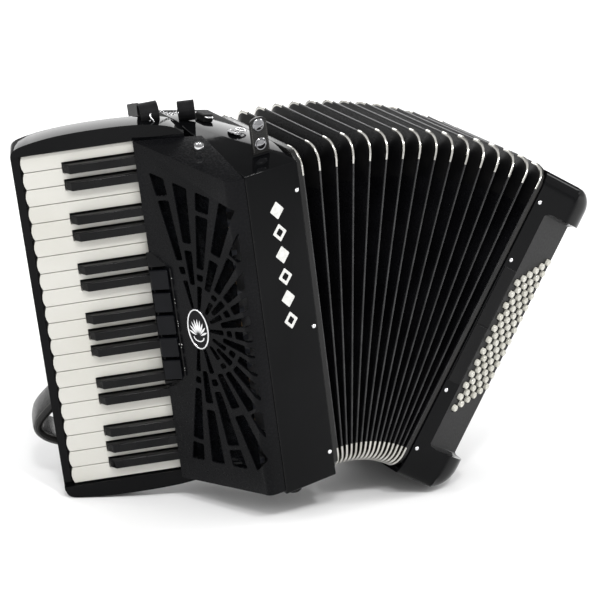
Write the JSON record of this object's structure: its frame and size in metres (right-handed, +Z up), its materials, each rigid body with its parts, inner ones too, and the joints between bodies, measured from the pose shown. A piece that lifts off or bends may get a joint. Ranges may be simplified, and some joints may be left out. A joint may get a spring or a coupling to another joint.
{
  "type": "piano accordion",
  "caption": "Piano accordion with a piano keyboard, register switches, a slotted grille, bellows fanned open at the top, a bass button board and three straps.",
  "frame": {"origin": "centre of the bounding box in plan, on the floor the instrument stands on", "axes": "+Z up, +X from the keyboard to the bass side, +Y to the back, where the player would be; the open bellows face -Y"},
  "size_m": [0.6134, 0.2525, 0.4302],
  "materials": {
    "black_lacquer": "gloss",
    "satin_black": "satin",
    "white_key": "satin ivory",
    "black_key": "gloss",
    "chrome": "polished",
    "steel": "brushed",
    "spruce": "planed",
    "bellows_cloth": "coated cloth",
    "black_leather": "grained",
    "strap_pad": "soft padded",
    "cream_button": "dimpled, satin"
  },
  "bodies": {
    "treble_side": {"treble_casing": "black_lacquer", "treble_grille": "satin_black", "keyboard_base": "black_lacquer", "key_axle": "steel", "treble_reed_block": "spruce", "bellows_frame_treble": "spruce"},
    "bass_side": {"bass_casing": "black_lacquer", "bass_button_board": "satin_black", "bass_strap": "black_leather", "bass_reed_block": "spruce", "bellows_frame_bass": "spruce"},
    "fold_1": {"bellows_fold_1": "bellows_cloth"},
    "fold_2": {"bellows_fold_2": "bellows_cloth"},
    "fold_3": {"bellows_fold_3": "bellows_cloth"},
    "fold_4": {"bellows_fold_4": "bellows_cloth"},
    "fold_5": {"bellows_fold_5": "bellows_cloth"},
    "outer_shoulder_strap": {"shoulder_strap_outer": "strap_pad"},
    "inner_shoulder_strap": {"shoulder_strap_inner": "strap_pad"},
    "clip_strap": {"bellows_clip_strap": "black_leather"},
    "air_knob": {"air_button": "chrome"},
    "button_set": {"bass_buttons": "cream_button"},
    "register_1": {"register_switch_1": "black_key"},
    "register_2": {"register_switch_2": "black_key"},
    "register_3": {"register_switch_3": "black_key"},
    "register_4": {"register_switch_4": "black_key"},
    "register_5": {"register_switch_5": "black_key"},
    "white_key_01_body": {"white_key_01": "white_key"},
    "white_key_02_body": {"white_key_02": "white_key"},
    "white_key_03_body": {"white_key_03": "white_key"},
    "white_key_04_body": {"white_key_04": "white_key"},
    "white_key_05_body": {"white_key_05": "white_key"},
    "white_key_06_body": {"white_key_06": "white_key"},
    "white_key_07_body": {"white_key_07": "white_key"},
    "white_key_08_body": {"white_key_08": "white_key"},
    "white_key_09_body": {"white_key_09": "white_key"},
    "white_key_10_body": {"white_key_10": "white_key"},
    "white_key_11_body": {"white_key_11": "white_key"},
    "white_key_12_body": {"white_key_12": "white_key"},
    "white_key_13_body": {"white_key_13": "white_key"},
    "white_key_14_body": {"white_key_14": "white_key"},
    "white_key_15_body": {"white_key_15": "white_key"},
    "white_key_16_body": {"white_key_16": "white_key"},
    "white_key_17_body": {"white_key_17": "white_key"},
    "white_key_18_body": {"white_key_18": "white_key"},
    "white_key_19_body": {"white_key_19": "white_key"},
    "white_key_20_body": {"white_key_20": "white_key"},
    "black_key_01_body": {"black_key_01": "black_key"},
    "black_key_02_body": {"black_key_02": "black_key"},
    "black_key_03_body": {"black_key_03": "black_key"},
    "black_key_04_body": {"black_key_04": "black_key"},
    "black_key_05_body": {"black_key_05": "black_key"},
    "black_key_06_body": {"black_key_06": "black_key"},
    "black_key_07_body": {"black_key_07": "black_key"},
    "black_key_08_body": {"black_key_08": "black_key"},
    "black_key_09_body": {"black_key_09": "black_key"},
    "black_key_10_body": {"black_key_10": "black_key"},
    "black_key_11_body": {"black_key_11": "black_key"},
    "black_key_12_body": {"black_key_12": "black_key"},
    "black_key_13_body": {"black_key_13": "black_key"},
    "black_key_14_body": {"black_key_14": "black_key"}
  },
  "joints": [
    {"name": "bellows_fan", "type": "hinge", "parent": "treble_side", "child": "bass_side", "pos_m": [0.03205, -0.12625, 0.05162], "axis": [0, 1, 0], "range_deg": [-38.5, 12]},
    {"name": "shoulder_strap_outer_swing", "type": "hinge", "parent": "treble_side", "child": "outer_shoulder_strap", "pos_m": [-0.13396, 0.03738, 0.21502], "axis": [0.1754, 0, -0.9845], "range_deg": [0, 40]},
    {"name": "shoulder_strap_inner_swing", "type": "hinge", "parent": "treble_side", "child": "inner_shoulder_strap", "pos_m": [-0.07895, 0.09275, 0.2103], "axis": [0.1754, 0, -0.9845], "range_deg": [0, 75]},
    {"name": "bellows_clip_swing", "type": "hinge", "parent": "treble_side", "child": "clip_strap", "pos_m": [-0.09395, -0.09625, 0.39147], "axis": [0.9845, 0, 0.1754], "range_deg": [-60, 60]},
    {"name": "air_button_press", "type": "slide", "parent": "bass_side", "child": "air_knob", "axis": [-0.8796, 0, 0.4756], "range_m": [0, 0.005], "stiffness_N_per_m": 400, "springref_m": -0.002},
    {"name": "bass_buttons_press", "type": "slide", "parent": "bass_side", "child": "button_set", "axis": [-0.3994, 0.891, 0.2159], "range_m": [0, 0.003], "stiffness_N_per_m": 1500, "springref_m": -0.003},
    {"name": "register_1_rock", "type": "hinge", "parent": "treble_side", "child": "register_1", "pos_m": [-0.1653, -0.04316, 0.25383], "axis": [0.1754, 0, -0.9845], "range_deg": [0, 8]},
    {"name": "register_2_rock", "type": "hinge", "parent": "treble_side", "child": "register_2", "pos_m": [-0.16092, -0.04316, 0.22921], "axis": [0.1754, 0, -0.9845], "range_deg": [0, 8]},
    {"name": "register_3_rock", "type": "hinge", "parent": "treble_side", "child": "register_3", "pos_m": [-0.15654, -0.04316, 0.2046], "axis": [0.1754, 0, -0.9845], "range_deg": [0, 8]},
    {"name": "register_4_rock", "type": "hinge", "parent": "treble_side", "child": "register_4", "pos_m": [-0.15215, -0.04316, 0.17999], "axis": [0.1754, 0, -0.9845], "range_deg": [0, 8]},
    {"name": "register_5_rock", "type": "hinge", "parent": "treble_side", "child": "register_5", "pos_m": [-0.14777, -0.04316, 0.15538], "axis": [0.1754, 0, -0.9845], "range_deg": [0, 8]},
    {"name": "white_key_01_press", "type": "hinge", "parent": "treble_side", "child": "white_key_01_body", "pos_m": [-0.16909, -0.01133, 0.3884], "axis": [0.1754, 0, -0.9845], "range_deg": [0, 1.8], "stiffness_Nm_per_rad": 1, "springref_deg": -6.88},
    {"name": "white_key_02_press", "type": "hinge", "parent": "treble_side", "child": "white_key_02_body", "pos_m": [-0.16588, -0.01133, 0.37038], "axis": [0.1754, 0, -0.9845], "range_deg": [0, 1.8], "stiffness_Nm_per_rad": 1, "springref_deg": -6.88},
    {"name": "white_key_03_press", "type": "hinge", "parent": "treble_side", "child": "white_key_03_body", "pos_m": [-0.16267, -0.01133, 0.35237], "axis": [0.1754, 0, -0.9845], "range_deg": [0, 1.8], "stiffness_Nm_per_rad": 1, "springref_deg": -6.88},
    {"name": "white_key_04_press", "type": "hinge", "parent": "treble_side", "child": "white_key_04_body", "pos_m": [-0.15946, -0.01133, 0.33435], "axis": [0.1754, 0, -0.9845], "range_deg": [0, 1.8], "stiffness_Nm_per_rad": 1, "springref_deg": -6.88},
    {"name": "white_key_05_press", "type": "hinge", "parent": "treble_side", "child": "white_key_05_body", "pos_m": [-0.15625, -0.01133, 0.31633], "axis": [0.1754, 0, -0.9845], "range_deg": [0, 1.8], "stiffness_Nm_per_rad": 1, "springref_deg": -6.88},
    {"name": "white_key_06_press", "type": "hinge", "parent": "treble_side", "child": "white_key_06_body", "pos_m": [-0.15304, -0.01133, 0.29832], "axis": [0.1754, 0, -0.9845], "range_deg": [0, 1.8], "stiffness_Nm_per_rad": 1, "springref_deg": -6.88},
    {"name": "white_key_07_press", "type": "hinge", "parent": "treble_side", "child": "white_key_07_body", "pos_m": [-0.14983, -0.01133, 0.2803], "axis": [0.1754, 0, -0.9845], "range_deg": [0, 1.8], "stiffness_Nm_per_rad": 1, "springref_deg": -6.88},
    {"name": "white_key_08_press", "type": "hinge", "parent": "treble_side", "child": "white_key_08_body", "pos_m": [-0.14662, -0.01133, 0.26228], "axis": [0.1754, 0, -0.9845], "range_deg": [0, 1.8], "stiffness_Nm_per_rad": 1, "springref_deg": -6.88},
    {"name": "white_key_09_press", "type": "hinge", "parent": "treble_side", "child": "white_key_09_body", "pos_m": [-0.14341, -0.01133, 0.24427], "axis": [0.1754, 0, -0.9845], "range_deg": [0, 1.8], "stiffness_Nm_per_rad": 1, "springref_deg": -6.88},
    {"name": "white_key_10_press", "type": "hinge", "parent": "treble_side", "child": "white_key_10_body", "pos_m": [-0.1402, -0.01133, 0.22625], "axis": [0.1754, 0, -0.9845], "range_deg": [0, 1.8], "stiffness_Nm_per_rad": 1, "springref_deg": -6.88},
    {"name": "white_key_11_press", "type": "hinge", "parent": "treble_side", "child": "white_key_11_body", "pos_m": [-0.13699, -0.01133, 0.20823], "axis": [0.1754, 0, -0.9845], "range_deg": [0, 1.8], "stiffness_Nm_per_rad": 1, "springref_deg": -6.88},
    {"name": "white_key_12_press", "type": "hinge", "parent": "treble_side", "child": "white_key_12_body", "pos_m": [-0.13378, -0.01133, 0.19022], "axis": [0.1754, 0, -0.9845], "range_deg": [0, 1.8], "stiffness_Nm_per_rad": 1, "springref_deg": -6.88},
    {"name": "white_key_13_press", "type": "hinge", "parent": "treble_side", "child": "white_key_13_body", "pos_m": [-0.13057, -0.01133, 0.1722], "axis": [0.1754, 0, -0.9845], "range_deg": [0, 1.8], "stiffness_Nm_per_rad": 1, "springref_deg": -6.88},
    {"name": "white_key_14_press", "type": "hinge", "parent": "treble_side", "child": "white_key_14_body", "pos_m": [-0.12737, -0.01133, 0.15418], "axis": [0.1754, 0, -0.9845], "range_deg": [0, 1.8], "stiffness_Nm_per_rad": 1, "springref_deg": -6.88},
    {"name": "white_key_15_press", "type": "hinge", "parent": "treble_side", "child": "white_key_15_body", "pos_m": [-0.12416, -0.01133, 0.13617], "axis": [0.1754, 0, -0.9845], "range_deg": [0, 1.8], "stiffness_Nm_per_rad": 1, "springref_deg": -6.88},
    {"name": "white_key_16_press", "type": "hinge", "parent": "treble_side", "child": "white_key_16_body", "pos_m": [-0.12095, -0.01133, 0.11815], "axis": [0.1754, 0, -0.9845], "range_deg": [0, 1.8], "stiffness_Nm_per_rad": 1, "springref_deg": -6.88},
    {"name": "white_key_17_press", "type": "hinge", "parent": "treble_side", "child": "white_key_17_body", "pos_m": [-0.11774, -0.01133, 0.10014], "axis": [0.1754, 0, -0.9845], "range_deg": [0, 1.8], "stiffness_Nm_per_rad": 1, "springref_deg": -6.88},
    {"name": "white_key_18_press", "type": "hinge", "parent": "treble_side", "child": "white_key_18_body", "pos_m": [-0.11453, -0.01133, 0.08212], "axis": [0.1754, 0, -0.9845], "range_deg": [0, 1.8], "stiffness_Nm_per_rad": 1, "springref_deg": -6.88},
    {"name": "white_key_19_press", "type": "hinge", "parent": "treble_side", "child": "white_key_19_body", "pos_m": [-0.11132, -0.01133, 0.0641], "axis": [0.1754, 0, -0.9845], "range_deg": [0, 1.8], "stiffness_Nm_per_rad": 1, "springref_deg": -6.88},
    {"name": "white_key_20_press", "type": "hinge", "parent": "treble_side", "child": "white_key_20_body", "pos_m": [-0.10811, -0.01133, 0.04609], "axis": [0.1754, 0, -0.9845], "range_deg": [0, 1.8], "stiffness_Nm_per_rad": 1, "springref_deg": -6.88},
    {"name": "black_key_01_press", "type": "hinge", "parent": "treble_side", "child": "black_key_01_body", "pos_m": [-0.16748, -0.01133, 0.37939], "axis": [0.1754, 0, -0.9845], "range_deg": [0, 1.8], "stiffness_Nm_per_rad": 1, "springref_deg": -6.88},
    {"name": "black_key_02_press", "type": "hinge", "parent": "treble_side", "child": "black_key_02_body", "pos_m": [-0.16427, -0.01133, 0.36137], "axis": [0.1754, 0, -0.9845], "range_deg": [0, 1.8], "stiffness_Nm_per_rad": 1, "springref_deg": -6.88},
    {"name": "black_key_03_press", "type": "hinge", "parent": "treble_side", "child": "black_key_03_body", "pos_m": [-0.15785, -0.01133, 0.32534], "axis": [0.1754, 0, -0.9845], "range_deg": [0, 1.8], "stiffness_Nm_per_rad": 1, "springref_deg": -6.88},
    {"name": "black_key_04_press", "type": "hinge", "parent": "treble_side", "child": "black_key_04_body", "pos_m": [-0.15464, -0.01133, 0.30733], "axis": [0.1754, 0, -0.9845], "range_deg": [0, 1.8], "stiffness_Nm_per_rad": 1, "springref_deg": -6.88},
    {"name": "black_key_05_press", "type": "hinge", "parent": "treble_side", "child": "black_key_05_body", "pos_m": [-0.14823, -0.01133, 0.27129], "axis": [0.1754, 0, -0.9845], "range_deg": [0, 1.8], "stiffness_Nm_per_rad": 1, "springref_deg": -6.88},
    {"name": "black_key_06_press", "type": "hinge", "parent": "treble_side", "child": "black_key_06_body", "pos_m": [-0.14502, -0.01133, 0.25327], "axis": [0.1754, 0, -0.9845], "range_deg": [0, 1.8], "stiffness_Nm_per_rad": 1, "springref_deg": -6.88},
    {"name": "black_key_07_press", "type": "hinge", "parent": "treble_side", "child": "black_key_07_body", "pos_m": [-0.1386, -0.01133, 0.21724], "axis": [0.1754, 0, -0.9845], "range_deg": [0, 1.8], "stiffness_Nm_per_rad": 1, "springref_deg": -6.88},
    {"name": "black_key_08_press", "type": "hinge", "parent": "treble_side", "child": "black_key_08_body", "pos_m": [-0.13539, -0.01133, 0.19923], "axis": [0.1754, 0, -0.9845], "range_deg": [0, 1.8], "stiffness_Nm_per_rad": 1, "springref_deg": -6.88},
    {"name": "black_key_09_press", "type": "hinge", "parent": "treble_side", "child": "black_key_09_body", "pos_m": [-0.13218, -0.01133, 0.18121], "axis": [0.1754, 0, -0.9845], "range_deg": [0, 1.8], "stiffness_Nm_per_rad": 1, "springref_deg": -6.88},
    {"name": "black_key_10_press", "type": "hinge", "parent": "treble_side", "child": "black_key_10_body", "pos_m": [-0.12576, -0.01133, 0.14518], "axis": [0.1754, 0, -0.9845], "range_deg": [0, 1.8], "stiffness_Nm_per_rad": 1, "springref_deg": -6.88},
    {"name": "black_key_11_press", "type": "hinge", "parent": "treble_side", "child": "black_key_11_body", "pos_m": [-0.12255, -0.01133, 0.12716], "axis": [0.1754, 0, -0.9845], "range_deg": [0, 1.8], "stiffness_Nm_per_rad": 1, "springref_deg": -6.88},
    {"name": "black_key_12_press", "type": "hinge", "parent": "treble_side", "child": "black_key_12_body", "pos_m": [-0.11613, -0.01133, 0.09113], "axis": [0.1754, 0, -0.9845], "range_deg": [0, 1.8], "stiffness_Nm_per_rad": 1, "springref_deg": -6.88},
    {"name": "black_key_13_press", "type": "hinge", "parent": "treble_side", "child": "black_key_13_body", "pos_m": [-0.11292, -0.01133, 0.07311], "axis": [0.1754, 0, -0.9845], "range_deg": [0, 1.8], "stiffness_Nm_per_rad": 1, "springref_deg": -6.88},
    {"name": "black_key_14_press", "type": "hinge", "parent": "treble_side", "child": "black_key_14_body", "pos_m": [-0.10971, -0.01133, 0.05509], "axis": [0.1754, 0, -0.9845], "range_deg": [0, 1.8], "stiffness_Nm_per_rad": 1, "springref_deg": -6.88},
    {"name": "fold_1_turn", "type": "hinge", "parent": "treble_side", "child": "fold_1", "pos_m": [0.03205, -0.12625, 0.05162], "axis": [0, 1, 0], "range_deg": [-6.44, 2.02]},
    {"name": "fold_2_turn", "type": "hinge", "parent": "treble_side", "child": "fold_2", "pos_m": [0.03205, -0.12625, 0.05162], "axis": [0, 1, 0], "range_deg": [-12.85, 4.02]},
    {"name": "fold_3_turn", "type": "hinge", "parent": "treble_side", "child": "fold_3", "pos_m": [0.03205, -0.12625, 0.05162], "axis": [0, 1, 0], "range_deg": [-19.27, 6.02]},
    {"name": "fold_4_turn", "type": "hinge", "parent": "treble_side", "child": "fold_4", "pos_m": [0.03205, -0.12625, 0.05162], "axis": [0, 1, 0], "range_deg": [-25.69, 8.02]},
    {"name": "fold_5_turn", "type": "hinge", "parent": "treble_side", "child": "fold_5", "pos_m": [0.03205, -0.12625, 0.05162], "axis": [0, 1, 0], "range_deg": [-32.1, 10.02]}
  ],
  "couplings": [
    {"joint": "fold_1_turn", "follows": "bellows_fan", "ratio": 0.16667},
    {"joint": "fold_2_turn", "follows": "bellows_fan", "ratio": 0.33333},
    {"joint": "fold_3_turn", "follows": "bellows_fan", "ratio": 0.5},
    {"joint": "fold_4_turn", "follows": "bellows_fan", "ratio": 0.66667},
    {"joint": "fold_5_turn", "follows": "bellows_fan", "ratio": 0.83333}
  ]
}
